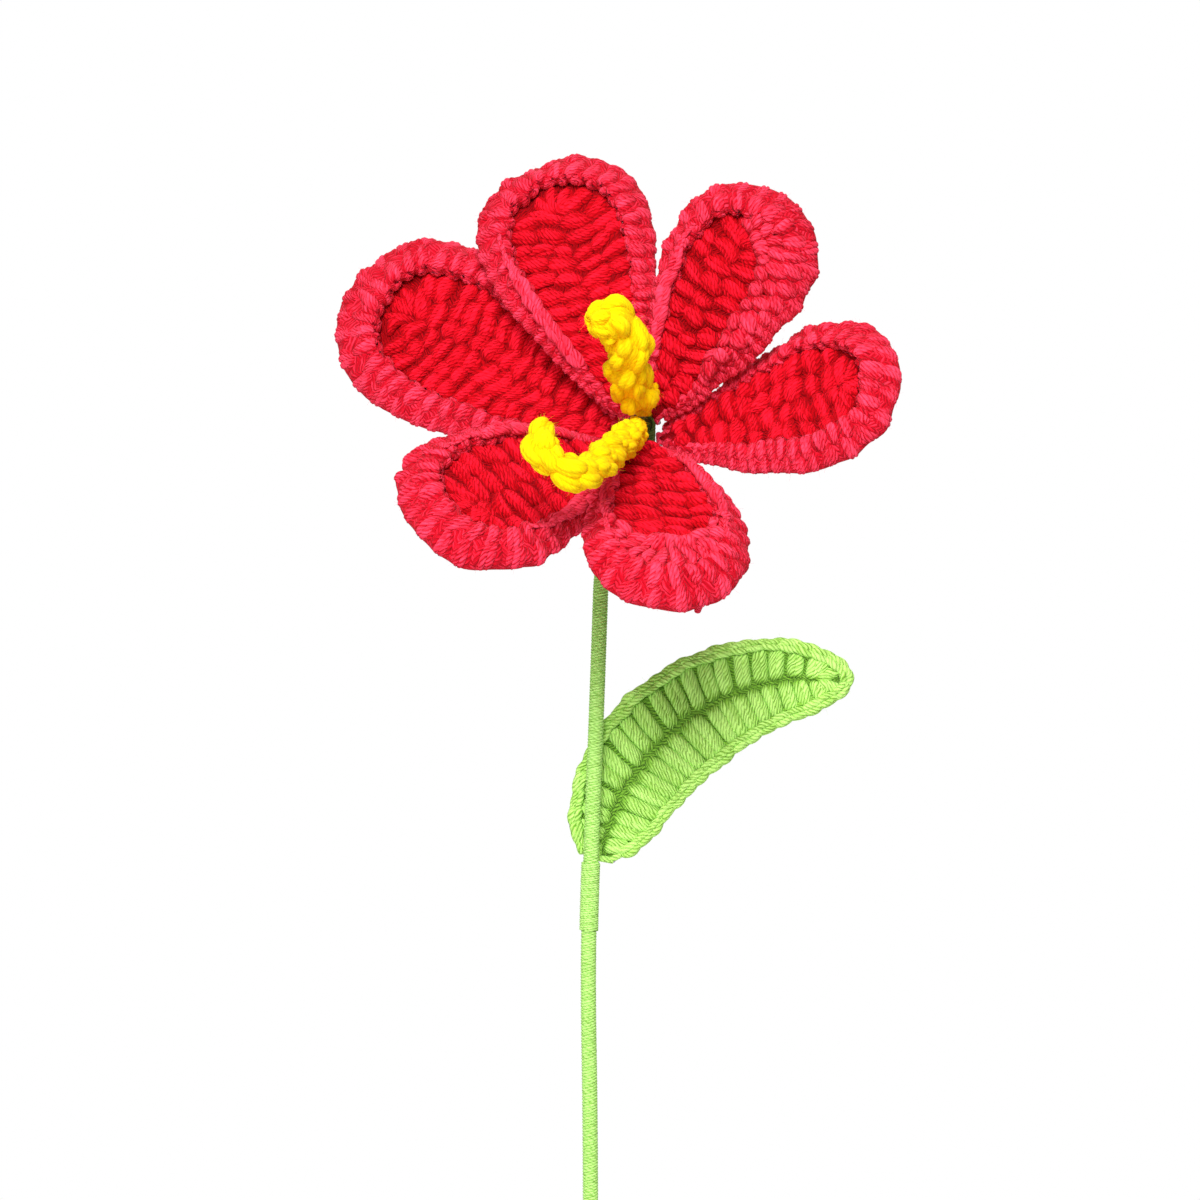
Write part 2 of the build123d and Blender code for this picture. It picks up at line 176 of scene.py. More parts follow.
class Blade:
    """A petal or leaf: its flat pattern, and how that pattern lies on the curved piece in the world."""

    def __init__(self, origin, axes, bend, size, fuller, gathered, length, half_width, powers, taper, root,
                 slope, rise, border, panel, sickle):
        self.origin, self.axes, self.bend, self.size = origin, axes, bend, size
        self.fuller, self.gathered = fuller, gathered
        self.length, self.half_width = length * size, half_width * size
        self.root_power, self.tip_power = powers
        self.taper, self.sickle, self.rise = taper, sickle, rise
        self.root_share = root / self.length
        self.slope = np.radians(slope)
        self.border_root, self.border_tip = border
        self.half_thickness, self.sag = panel
        self.peak = self.bulge(np.linspace(0, 1, 401)).max()
        self.rim_shares = np.linspace(-1, 1, 801)
        self.rim_lengths = lengths_along(self.rim_frame(self.rim_shares)[0])
        along, across = self.inner_edge(np.linspace(1, 0.02, 120))
        order = np.argsort(along)
        self.inner_along, self.inner_half = along[order], across[order]
        self.tip = self.inner_along[-1]

    def bulge(self, share):
        rounded = np.sqrt(np.clip(1 - share**self.tip_power, 0, None))
        return share**self.root_power * (1 - self.taper * share) * rounded

    def point(self, along, across, height):
        """World places for places on the flat pattern."""
        turn = self.sickle * along / self.length
        ahead, aside = turned(along, turn)
        ahead = ahead - across * np.sin(np.radians(turn))
        aside = aside + across * np.cos(np.radians(turn))
        angle = self.bend * ahead / self.length
        out, down = turned(ahead, angle)
        lean = np.radians(angle)
        local = np.stack([out + height * np.sin(lean), aside, height * np.cos(lean) - down], -1)
        return self.origin + local @ self.axes

    def up(self, along, across):
        return unit(self.point(along, across, 1.0 + 0 * along) - self.point(along, across, 0 * along))

    def rim_half(self, along):
        return self.half_width * self.bulge(along / self.length) / self.peak

    def rim(self, g):
        """Border's middle on the flat pattern, from one root (-1) round the tip (0) to the other root (1)."""
        along = (self.root_share + (1 - self.root_share) * np.cos(g * np.pi / 2)) * self.length
        return along, np.sign(g) * self.rim_half(along)

    def border_half(self, g):
        """Half the border's width and half its thickness."""
        share = self.rim(g)[0] / self.length
        return [(a + (b - a) * share) * self.size for a, b in zip(self.border_root, self.border_tip)]

    def spare(self, g):
        """How much fuller than the CAD solid the yarn is on the outside, where the neighbours leave room."""
        share = self.rim(g)[0] / self.length
        clockwise = np.asarray(g) < 0
        full = np.where(clockwise, *self.fuller) * np.sin(np.pi * np.clip(share, 0, 1) ** 0.6)
        near_root = np.exp(-((share - GATHER_AT) / GATHER_SPREAD) ** 2)
        return full + np.where(clockwise, *self.gathered) * near_root

    def outward(self, g):
        step = 1e-4
        a0, b0 = self.rim(g - step)
        a1, b1 = self.rim(g + step)
        reach = np.hypot(a1 - a0, b1 - b0)
        return (b1 - b0) / reach, (a0 - a1) / reach

    def inner_edge(self, g, inset=0.0):
        """The border's inner edge on the flat pattern, or a line farther in."""
        wide, thick = self.border_half(g)
        reach = np.hypot(wide * np.cos(self.slope), thick * np.sin(self.slope)) + inset
        along, across = self.rim(g)
        out = self.outward(g)
        return along - out[0] * reach, across - out[1] * reach

    def share_at(self, length):
        """Share of the way round the rim, for a length along it."""
        return np.interp(length, self.rim_lengths, self.rim_shares)

    def rim_frame(self, g):
        """Middle of the border, its sloping outward direction, its lift and its run."""
        step = 1e-3
        along, across = self.rim(g)
        height = self.rise * along / self.length
        here = self.point(along, across, height)
        run = unit(self.point(*self.rim(g + step), height) - self.point(*self.rim(g - step), height))
        up = unit(self.point(along, across, height + 1) - here)
        out = unit(np.cross(run, up))
        wide = out * np.cos(self.slope) - up * np.sin(self.slope)
        lift = up * np.cos(self.slope) + out * np.sin(self.slope)
        return here, wide, lift, run

    def border_line(self, g, theta):
        """Places and outward normals on the border's surface at an angle round its section."""
        here, out, lift, _ = self.rim_frame(g)
        wide, thick = [np.asarray(v)[:, None] for v in self.border_half(g)]
        place = here + out * wide * np.cos(theta) + lift * thick * np.sin(theta)
        return place, unit(out * np.cos(theta) / wide + lift * np.sin(theta) / thick)

    def half_at(self, along):
        return np.interp(along, self.inner_along, self.inner_half)

    def panel_height(self, along, across):
        """Middle height of the sagging panel."""
        half = np.maximum(self.half_at(along), 0.5)
        return -self.sag * half / self.half_width * np.clip(1 - (across / half) ** 2, 0, 1)


class Yarn:
    """Gathers the strands of one piece and makes them one mesh."""

    def __init__(self):
        self.points, self.normals, self.quads, self.uvs, self.tones, self.painted_crease_shades = [], [], [], [], [], []
        self.count = 0

    def strand(self, path, radius, sides=10, closed=False, up=None, flat=1.0, tone=None, depth=0.0):
        """A tube along a path, oval if flat isn't 1, with pointed open ends. Depth is painted shade: 1 deep
        in a crease.
        """
        path = np.asarray(path, float)
        depth = np.broadcast_to(np.asarray(depth, float), len(path))
        radius = np.broadcast_to(np.asarray(radius, float), len(path)).copy()
        flat = np.broadcast_to(np.asarray(flat, float), len(path)).copy()
        if closed:
            run = unit(np.roll(path, -1, 0) - np.roll(path, 1, 0))
        else:
            run = unit(np.gradient(path, axis=0))
            cap = 0.5 * np.minimum(radius, radius * flat)
            path = np.concatenate([path[:1] - run[:1] * cap[0], path, path[-1:] + run[-1:] * cap[-1]])
            run = np.concatenate([run[:1], run, run[-1:]])
            radius = np.concatenate([[END_POINT], radius, [END_POINT]])
            flat = np.concatenate([flat[:1], flat, flat[-1:]])
            depth = np.concatenate([depth[:1], depth, depth[-1:]])
            up = None if up is None else np.concatenate([up[:1], up, up[-1:]])
        up = carried(run) if up is None else up
        side = unit(np.cross(run, up))
        up = np.cross(side, run)
        angle = np.arange(sides) * 2 * np.pi / sides
        spoke = np.cos(angle)[None, :, None] * side[:, None]
        spoke = spoke + flat[:, None, None] * np.sin(angle)[None, :, None] * up[:, None]
        ring = path[:, None] + radius[:, None, None] * spoke
        rows = len(path)
        index = np.arange(rows * sides).reshape(rows, sides) + self.count
        this_row = index if closed else index[:-1]
        next_row = np.roll(index, -1, 0) if closed else index[1:]
        quads = np.stack([this_row, np.roll(this_row, -1, 1), np.roll(next_row, -1, 1), next_row], -1)
        u, v = self.ply_map(path, radius, flat, sides, closed)
        self.points.append(ring.reshape(-1, 3))
        self.normals.append(unit(spoke).reshape(-1, 3))
        self.quads.append(quads.reshape(-1, 4))
        self.uvs.append(np.stack([u, v], -1).reshape(-1, 2))
        self.tones.append(np.full(rows * sides, rng.uniform(0, 1) if tone is None else tone))
        self.painted_crease_shades.append(np.repeat(depth, sides))
        self.count += rows * sides

    def ply_map(self, path, radius, flat, sides, closed):
        """Lengths along and round a strand for each face corner, in whole plies so that no seam shows."""
        along = lengths_along(np.concatenate([path, path[:1]]) if closed else path)
        if closed:
            turns = max(1, round(along[-1] * np.sin(PLY_SLANT) / PLY))
            along = along * turns * PLY / np.sin(PLY_SLANT) / along[-1]
        girth = 2 * np.pi * radius.mean() * np.sqrt((1 + flat.mean() ** 2) / 2)
        girth = max(2, round(girth * np.cos(PLY_SLANT) / PLY)) * PLY / np.cos(PLY_SLANT)
        along = along + rng.uniform(0, 40)
        around = np.arange(sides + 1) / sides * girth
        shape = (len(along) - 1, sides)
        low, high = [np.broadcast_to(a[:, None], shape) for a in (along[:-1], along[1:])]
        left, right = [np.broadcast_to(a[None], shape) for a in (around[:-1], around[1:])]
        return np.stack([low, low, high, high], -1), np.stack([left, right, right, left], -1)

    def soften(self, amount):
        """Shifts the strands gathered so far by the uneven field."""
        for block in self.points:
            block += amount * np.sin(block @ WAVES.T + WAVE_STARTS) @ WAVE_SHIFTS

    def fuzz(self, amount, length=1.1, radius=0.02):
        """Short loose fibres that lie on the strands or stand a little off them."""
        points, normals = np.concatenate(self.points), np.concatenate(self.normals)
        amount = amount
        roots = rng.integers(0, len(points), amount)
        way = unit(normals[roots] * rng.uniform(0.1, 0.7, (amount, 1)) + rng.normal(0, 0.6, (amount, 3)))
        droop = rng.normal(0, 0.5, (amount, 3))
        reach = length * rng.uniform(0.4, 1.0, (amount, 1, 1))
        t = np.linspace(0, 1, 4)[:, None]
        path = points[roots][:, None] + reach * (way[:, None] * t + droop[:, None] * t**2)
        side = unit(np.cross(way, droop))
        other = np.cross(way, side)
        angle = np.arange(3)[:, None] * 2 * np.pi / 3
        spoke = np.cos(angle) * side[:, None] + np.sin(angle) * other[:, None]
        ring = path[:, :, None] + radius * (1 - 0.6 * t)[:, None] * spoke[:, None]
        index = self.count + np.arange(ring.size // 3).reshape(ring.shape[:3])
        low, high = index[:, :-1], index[:, 1:]
        quads = np.stack([low, np.roll(low, -1, 2), np.roll(high, -1, 2), high], -1).reshape(-1, 4)
        self.points.append(ring.reshape(-1, 3))
        self.quads.append(quads)
        self.uvs.append(np.zeros((quads.size, 2)))
        self.tones.append(np.full(ring.size // 3, 1.0))
        self.painted_crease_shades.append(np.zeros(ring.size // 3))
        self.count += ring.size // 3

    def mesh(self, name, material, body, slot, node):
        """One object from all the strands, which rides on a CAD body and stands for a CAD node."""
        points = np.concatenate(self.points) * MM
        quads, uvs = np.concatenate(self.quads), np.concatenate(self.uvs)
        data = bpy.data.meshes.new(name)
        data.vertices.add(len(points))
        data.vertices.foreach_set("co", points.astype(np.float32).ravel())
        data.loops.add(quads.size)
        data.loops.foreach_set("vertex_index", quads.astype(np.int32).ravel())
        data.polygons.add(len(quads))
        data.polygons.foreach_set("loop_start", np.arange(0, quads.size, 4, dtype=np.int32))
        data.polygons.foreach_set("use_smooth", np.ones(len(quads), bool))
        data.uv_layers.new(name="yarn").data.foreach_set("uv", uvs.astype(np.float32).ravel())
        # The depth attribute holds painted crease shade; tone differs at random from strand to strand.
        for label, values in (("tone", self.tones), ("depth", self.painted_crease_shades)):
            attribute = data.attributes.new(label, "FLOAT", "POINT")
            attribute.data.foreach_set("value", np.concatenate(values).astype(np.float32))
        data.update(calc_edges=True)
        data.materials.append(material)
        piece = bpy.data.objects.new(name, data)
        bpy.context.scene.collection.objects.link(piece)
        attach(piece, body)
        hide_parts(node)


def carried(run):
    """Directions across a path, each turned as little as can be from the one before."""
    across = np.cross(run[0], [0.31, 0.2, 0.9])
    found = []
    for way in run:
        across = across - way * across.dot(way)
        across = across / np.linalg.norm(across)
        found.append(across)
    return np.array(found)


# Crochet stitches

# Places of a lump's strands across it, their parting as a share of its width, and how far the outer ones drop
LUMP_STRANDS = np.linspace(-1, 1, 4)
PARTING = 0.34
OUTER_DROP = 0.8
# How far a panel's rows reach under the border and stand proud of the solid, and the narrowest row worked
PANEL_TUCK, PANEL_PROUD, NARROWEST_ROW = 0.9, 0.2, 2.4
# Share of a stitch by which the rows on one side of a midline come after those on the other
STAGGER = 0.4
PETAL_FAN = np.radians([-70, -35, 0, 35, 70])
LEAF_FAN = np.radians([-66, -22, 22, 66])
SHEET_RIBS = 23
# Rows of lumps round a border: angles round its section where they start and end, and depth of their creases
BORDER_ROWS = [(182, 74, 1.5), (94, -28, 0.8), (-12, -104, 0.9), (-86, -182, 1.2)]
# Least and greatest width of those lumps
BORDER_PITCH = (1.8, 4.9)
FOLD_PITCH = 5.0
# The two rows of lumps on a folded stretch: their shift along it, and where they start and end in shares of
# the fold's depth. The first row starts on the border, outside its inner edge.
FOLD_OUTSIDE = -3.0
FOLD_ROWS = [(0.0, None, 0.55), (2.4, 0.4, 1.05)]


def crown(x, bulge, ends):
    """How high a lump's strand stands, up to 1: lower on the outside of the lump and at its ends."""
    return np.sqrt(1 - OUTER_DROP * x * x) * (ends + (1 - ends) * bulge**0.6)


def row_starts(first, last, pitch, side):
    return np.arange(first, last, pitch) + (0 if side > 0 else STAGGER * pitch)


def puff(blade, yarn, middle, way, length, width, face):
    """One lump of yarn on a panel's upper (1) or lower (-1) face: strands that part and meet again."""
    t = np.linspace(0, 1, 9)
    bulge = np.sin(np.pi * t)
    reach = (t - 0.5) * length
    curl, lift = rng.normal(0, 0.6), rng.normal(0, 0.15)
    radius = 0.17 * width
    for x in LUMP_STRANDS:
        aside = 0.33 * width * x * bulge**0.5 + curl * (bulge - 0.5)
        along = middle[0] + way[0] * reach - way[1] * aside
        across = middle[1] + way[1] * reach + way[0] * aside
        high = crown(x, bulge, 0.2)
        proud = (blade.half_thickness + PANEL_PROUD - radius) * high + lift
        path = blade.point(along, across, blade.panel_height(along, across) + face * proud)
        # Painted shade: the lower strands at a lump's sides and ends are darker.
        yarn.strand(path, radius * swell(t, 0.6), sides=8, up=blade.up(along, across), depth=1 - high)


def puff_row(blade, yarn, along, side, face, pitch, slant, lump):
    """One row of lumps from the midline to the border."""
    lean = slant * (0.4 + 0.9 * along / blade.length) + rng.normal(0, 0.3)
    half = float(blade.half_at(along + lean)) + PANEL_TUCK
    if half < NARROWEST_ROW:
        return
    count = max(1, round(half / lump))
    cuts = half * np.linspace(0.02, 1, count + 1)
    cuts[1:-1] += rng.normal(0, 0.5, count - 1)
    for low, high in zip(cuts[:-1], cuts[1:]):
        share = (low + high) / 2 / half
        middle = along + lean * share + rng.normal(0, 0.25), side * share * half
        tilt = np.arctan2(lean, half) + rng.normal(0, 0.16)
        way = np.sin(tilt), side * np.cos(tilt)
        puff(blade, yarn, middle, way, 1.3 * (high - low), pitch * rng.uniform(0.9, 1.25), face)


def panel_puffs(blade, yarn, pitch, slant, first, last, lump):
    """Rows of lumps on both sides of the midline, and a fan of them at the tip, on both faces."""
    for face in (1, -1):
        for side in (-1, 1):
            for along in row_starts(first, last, pitch, side):
                puff_row(blade, yarn, along, side, face, pitch, slant, lump)
        hub = last - 1.0
        reach = blade.tip + 0.8 - hub
        for angle in PETAL_FAN + rng.normal(0, 0.08, len(PETAL_FAN)):
            way = np.array([np.cos(angle), np.sin(angle)])
            middle = hub + 0.55 * reach * way[0], 0.6 * reach * way[1]
            puff(blade, yarn, middle, way, reach, pitch, face)


def panel_posts(blade, yarn, pitch, slant, first, last):
    """Neat rows of long posts on both sides of a groove along the midline, and a fan of them at the tip."""
    rows = []
    for side in (-1, 1):
        for along in row_starts(first, last, pitch, side):
            edge = float(blade.half_at(along + slant)) + PANEL_TUCK
            rows.append(((along, 0.7 * side), (along + slant, side * edge)))
    hub, reach = last - 1.0, blade.tip + 1.8 - last
    for angle in LEAF_FAN:
        start = hub + 1.0, 1.2 * np.sin(angle)
        rows.append((start, (hub + reach * np.cos(angle), 1.1 * reach * np.sin(angle))))
    t = np.linspace(0, 1, 11)
    post = 0.37 * pitch
    for start, end in rows:
        ahead = rng.normal(0, 0.2)
        along = start[0] + (end[0] - start[0]) * t + ahead
        across = start[1] + (end[1] - start[1]) * t
        height = blade.panel_height(along, across) - 0.5 * (1 - np.sin(np.pi * t)) ** 2
        for half in (-0.14, 0.14):
            path = blade.point(along + half * pitch, across, height)
            width = post * swell(t, 0.75) * rng.uniform(0.95, 1.05)
            # Painted shade darkens each post at its inner end, in the midline groove.
            yarn.strand(path, width, up=blade.up(along, across), flat=blade.half_thickness / post,
                        depth=0.9 * np.clip(1 - 5 * t, 0, 1))


def sheet(blade, yarn, thick):
    """A thin inner sheet of flat ribs, so that nothing shows through between the stitches; it is painted
    dark, as shade.
    """
    along = np.linspace(0.4, 0.985 * blade.length, 54)
    for share in np.linspace(-0.95, 0.95, SHEET_RIBS):
        across = share * blade.rim_half(along)
        path = blade.point(along, across, blade.panel_height(along, across) - 0.2)
        width = np.maximum(1.5 * blade.rim_half(along) / SHEET_RIBS, 0.3)
        yarn.strand(path, width, sides=6, up=blade.up(along, across), flat=thick / width, tone=0.0, depth=0.8)


def border_stitches(blade, yarn):
    """Rows of lumps worked round the border over a plain core: deep creases inside, a smoother outside. The
    core and the creases are painted with shade.
    """
    g = np.linspace(-1, 1, 120)
    here, out, lift, _ = blade.rim_frame(g)
    wide, thick = blade.border_half(g)
    spare = blade.spare(g)
    core = np.maximum(wide + 0.5 * spare - 0.75, 0.4)
    flat = np.maximum(thick - 0.8, 0.35) / core
    middle = here + out * (0.5 * spare + 0.45)[:, None]
    # The core is painted half in shade.
    yarn.strand(middle, core, sides=20, up=lift, flat=flat, tone=0.4, depth=0.5)
    for first, last, crease in BORDER_ROWS:
        spot = rng.uniform(-1, 1)
        while spot < blade.rim_lengths[-1]:
            thick = float(blade.border_half(blade.share_at(spot))[1])
            pitch = float(np.clip(1.65 * thick, *BORDER_PITCH)) * rng.uniform(0.82, 1.2)
            angles = np.radians([first, last])
            border_lump(blade, yarn, spot + pitch / 2, pitch, angles, min(crease, 0.4 * thick))
            spot += pitch


def border_lump(blade, yarn, spot, pitch, angles, crease):
    """One lump on the border: strands that part at one angle round its section and meet at another."""
    t = np.linspace(0, 1, 10)
    bulge = np.sin(np.pi * t)
    tilt = rng.normal(0.15, 0.22)
    theta = angles[0] + (angles[1] - angles[0]) * t + rng.normal(0, 0.08)
    c, s = np.cos(theta), np.sin(theta)
    for x in LUMP_STRANDS:
        lengths = spot + pitch * (PARTING * x * bulge**0.4 + tilt * (0.5 - t))
        g = blade.share_at(np.clip(lengths, 0, blade.rim_lengths[-1]))
        here, out, lift, _ = blade.rim_frame(g)
        wide, thick = blade.border_half(g)
        spare = blade.spare(g)
        high = crown(x, bulge, 0.3)
        radius = np.minimum(0.18 * pitch, 0.5 * thick)
        sunk = 0.85 * radius + crease * (1 - high)
        outward, upward = 0.5 * spare + (wide + 0.5 * spare - sunk) * c, (thick - sunk) * s
        path = here + out * outward[:, None] + lift * upward[:, None]
        # Painted shade: strands lower in the lump are darker, more so where the crease is deep.
        yarn.strand(path, radius * swell(t, 0.65), sides=8, up=lift, depth=(1 - high) * min(1.0, crease))


def chain(yarn, line, normal, scale, pitch, strand_radius, spread):
    """A chain of V stitches along a line on a surface; scale shrinks them where the line is thin."""
    lengths = lengths_along(line)
    run = unit(np.gradient(line, axis=0))
    t = np.linspace(0, 1, 10)
    spot = 0.0
    while spot < lengths[-1] - 0.4 * pitch:
        size = float(np.interp(spot, lengths, scale))
        for side in (-1, 1):
            wanted = np.clip(spot + pitch * size * 1.5 * t, 0, lengths[-1])
            up = unit(sample(normal, lengths, wanted))
            aside = np.cross(unit(sample(run, lengths, wanted)), up)
            flare = side * spread * size * np.sin(np.pi * t**0.75) ** 0.8
            rise = strand_radius * size * (0.55 * np.sin(np.pi * t) - 0.4)
            path = sample(line, lengths, wanted) + aside * flare[:, None] + up * rise[:, None]
            yarn.strand(path, strand_radius * size * swell(t, 0.45) * rng.uniform(0.95, 1.05))
        spot += pitch * size


def wire_line(blade, node):
    """Centre line of the CAD wire: the middle of its surface points beside each place on the rim."""
    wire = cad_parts[node]
    surface = np.empty(3 * len(wire.data.vertices), np.float32)
    wire.data.vertices.foreach_get("co", surface)
    turn = np.array(wire.matrix_world)
    surface = (surface.reshape(-1, 3) @ turn[:3, :3].T + turn[:3, 3]) / MM
    here, _, _, run = blade.rim_frame(np.linspace(-0.995, 0.995, 160))
    line = []
    for place, way in zip(here, run):
        offset = surface - place
        close = (np.abs(offset @ way) < 0.8) & (np.linalg.norm(offset, axis=1) < 2.5)
        line.append(surface[close].mean(0) if close.any() else place)
    return np.array(line)


def root_wrap(blade, yarn, radius, node):
    """Yarn that covers the wire all along the rim, its straight ends and the bar between them."""
    # The yarn over the wire along the rim is painted partly in shade.
    yarn.strand(wire_line(blade, node), radius, tone=0.4, depth=0.6)
    ends = []
    for g in (-1.0, 1.0):
        here, _, _, run = [v[0] for v in blade.rim_frame(np.array([g]))]
        foot = here - run * ((here - blade.origin).dot(blade.axes[0]) / run.dot(blade.axes[0]))
        yarn.strand(np.linspace(foot, here + (here - foot) * 0.3, 6), radius)
        ends.append(foot)
    span = np.linalg.norm(ends[1] - ends[0])
    past = (max(BAR_RADIUS, BAR_HALF - span / 2) + 0.1) * (ends[1] - ends[0]) / span
    yarn.strand(np.linspace(ends[0] - past, ends[1] + past, 8), radius)


def fold_band(blade, yarn, first, last, depth):
    """Two more rows of lumps inside the border, along a stretch that is folded over or worked wider."""
    start, stop = np.interp([first, last], blade.rim_shares, blade.rim_lengths)
    t = np.linspace(0, 1, 9)
    bulge = np.sin(np.pi * t)
    for shift, low, high in FOLD_ROWS:
        spot = start + shift
        while spot < stop:
            pitch = FOLD_PITCH * rng.uniform(0.85, 1.2)
            tilt, lift = rng.normal(0, 0.25), rng.normal(0, 0.2)
            for x in LUMP_STRANDS:
                g = blade.share_at(spot + pitch * (PARTING * x * bulge**0.5 + tilt * (t - 0.5)))
                reach = fold_depth(g, first, last, depth)
                outer = FOLD_OUTSIDE if low is None else low * reach
                along, across = blade.inner_edge(g, outer + (high * reach - outer) * t)
                rise = crown(x, bulge, 0.2)
                path = blade.point(along, across, 1.0 + lift + 2.1 * rise)
                up = blade.up(along, across)
                # Painted shade: the lower strands of each lump are darker.
                yarn.strand(path, 0.19 * pitch * swell(t, 0.7), sides=8, up=up, depth=1 - rise)
            spot += pitch


def loose_end(blade, yarn, g):
    """A short cut end of yarn that hangs below the border."""
    place, normal = [v[0] for v in blade.border_line(np.array([g]), np.radians(-35))]
    t = np.linspace(0, 1, 8)[:, None]
    down = np.array([0.0, 0.0, -1.0])
    # The loose end carries a little painted shade.
    yarn.strand(place - normal + 2.5 * t * normal + 1.5 * t**2 * down, np.linspace(1.6, 0.7, 8), depth=0.4)


def fold_depth(g, first, last, depth):
    """How far in the added rows reach: deepest in the middle of the stretch, nothing at its ends."""
    return depth * np.clip(1 - np.abs((2 * g - first - last) / (last - first)) ** 3, 0, 1)


def spline_path(points, count):
    """A smooth natural cubic curve through points."""
    points = np.asarray(points, float)
    chord = lengths_along(points)
    n = len(points)
    h = np.diff(chord)
    matrix, right = np.eye(n), np.zeros((n, 3))
    for k in range(1, n - 1):
        matrix[k, k - 1:k + 2] = h[k - 1], 2 * (h[k - 1] + h[k]), h[k]
        right[k] = 6 * ((points[k + 1] - points[k]) / h[k] - (points[k] - points[k - 1]) / h[k - 1])
    second = np.linalg.solve(matrix, right)
    s = np.linspace(0, chord[-1], count)
    k = np.clip(np.searchsorted(chord, s) - 1, 0, n - 2)
    a, b = ((chord[k + 1] - s) / h[k])[:, None], ((s - chord[k]) / h[k])[:, None]
    bend = ((a**3 - a) * second[k] + (b**3 - b) * second[k + 1]) * (h[k] ** 2)[:, None] / 6
    return a * points[k] + b * points[k + 1] + bend


# A stamen's radius at its foot, and the share of its length over which it grows
FOOT_RADIUS, FOOT_SHARE = 1.9, 0.28
# Least and greatest length of a ring of bobbles
STAMEN_PITCH = (2.8, 5.2)
STAMEN_BAR, STAMEN_BAR_COVER = 1.5, 0.82


def cord_radius(radius, lumps, share):
    """A stamen's radius along its length: a slim foot, soft lumps and a domed end."""
    grown = FOOT_RADIUS + (radius - FOOT_RADIUS) * np.minimum(1.0, share / FOOT_SHARE)
    dome = np.sqrt(1 - 0.84 * np.clip((share - 0.9) / 0.1, 0, 1) ** 2)
    return grown * dome * (1 - 0.08 * np.cos(2 * np.pi * lumps * share))


def stamen(name, radius, lumps, around, route, material):
    """A cord of fat bobbles, each ring of them half a bobble on from the last."""
    path = head_to_world(spline_path(route, 240))
    lengths = lengths_along(path)
    total = lengths[-1]
    run = unit(np.gradient(path, axis=0))
    across = carried(run)
    other = np.cross(run, across)
    radii = cord_radius(radius, lumps, lengths / total)
    yarn = Yarn()
    yarn.strand(path[2:-6], np.maximum(radii[2:-6] - 1.5, 0.85), sides=14, tone=0.0)
    t = np.linspace(0, 1, 10)
    bulge = np.sin(np.pi * t)
    ring, spot = 0, 2.5
    while spot < total - 1.0:
        fat = float(np.interp(spot, lengths, radii))
        pitch = float(np.clip(fat, *STAMEN_PITCH))
        strand_radius = 0.17 * 2 * np.pi * fat / around
        for k in range(around):
            middle = 2 * np.pi * (k + 0.5 * (ring % 2)) / around + rng.normal(0, 0.12)
            start, tilt, size = spot + rng.normal(0, 0.4), rng.normal(0.1, 0.25), rng.uniform(0.85, 1.15)
            for x in LUMP_STRANDS:
                s = np.clip(start + pitch * 1.2 * size * (t - 0.3), 0, total * 0.995)
                angle = middle + 2 * np.pi / around * (PARTING * x * bulge**0.4 + tilt * (t - 0.5))
                spoke = np.cos(angle)[:, None] * sample(across, lengths, s)
                spoke = unit(spoke + np.sin(angle)[:, None] * sample(other, lengths, s))
                high = np.sqrt(1 - 0.85 * x * x) * bulge**0.5
                cord = np.interp(s, lengths, radii)
                reach = np.maximum(0.45 * cord + (0.55 * cord + 0.1 - strand_radius) * high * size, 0.15)
                bobble = sample(path, lengths, s) + spoke * reach[:, None]
                # Painted shade: the lower strands of each bobble are darker.
                yarn.strand(bobble, strand_radius * swell(t, 0.7), sides=8, depth=1 - high)
        spot += pitch
        ring += 1
    yarn.soften(NEARLY_EVEN)
    bar = HEAD_AXES[0] * STAMEN_BAR
    yarn.strand(np.linspace(path[0] - bar, path[0] + bar, 8), STAMEN_BAR_COVER)
    yarn.fuzz(STAMEN_FIBRES)
    yarn.mesh(f"{name}_yarn", material, name, "yellow_yarn", name)


# Wound thread

def stem_line():
    """The stem's centre line: straight runs joined by tangent arcs."""
    corner, end = head_to_world((0, 0, -NECK_REACH)), head_to_world((0, 0, STEM_END))
    points = np.array([(0, 0, 0), (0, 0, FOOT_LENGTH), *STEM_ROUTE, corner, end], float)
    t = np.linspace(0, 1, 25)[:, None]
    line = [points[0]]
    for k in range(1, len(points) - 1):
        before, after = points[k - 1] - points[k], points[k + 1] - points[k]
        tangent = BEND_SHARE * min(np.linalg.norm(before), np.linalg.norm(after))
        before, after = unit(before), unit(after)
        half_turn = (np.pi - np.arccos(np.clip(before.dot(after), -1, 1))) / 2
        if k == len(points) - 2:
            tangent = NECK_BEND_RADIUS * np.tan(half_turn)
        start, stop = points[k] + before * tangent, points[k] + after * tangent
        weight = 2 * np.cos(half_turn) * t * (1 - t)
        arc = (1 - t) ** 2 * start + weight * points[k] + t**2 * stop
        line += list(arc / ((1 - t) ** 2 + weight + t**2))
    return np.array(line + [points[-1]])


def evenly(line, step):
    """Points at even spacing along a line."""
    lengths = lengths_along(line)
    return sample(line, lengths, np.arange(0, lengths[-1], step))


def wind(yarn, line, radius, thread, starts, pitch, per_turn=14):
    """Threads wound side by side round a line, with their outside at the radius or radii given."""
    path = evenly(line, pitch / per_turn)
    run = unit(np.gradient(path, axis=0))
    across = carried(run)
    other = np.cross(run, across)
    shares, given = np.linspace(0, 1, len(path)), np.linspace(0, 1, np.size(radius))
    radius = np.interp(shares, given, np.atleast_1d(radius))
    for k in range(starts):
        angle = 2 * np.pi * (np.arange(len(path)) / per_turn + k / starts)
        spoke = np.cos(angle)[:, None] * across + np.sin(angle)[:, None] * other
        yarn.strand(path + spoke * (radius - thread)[:, None], thread, sides=6)
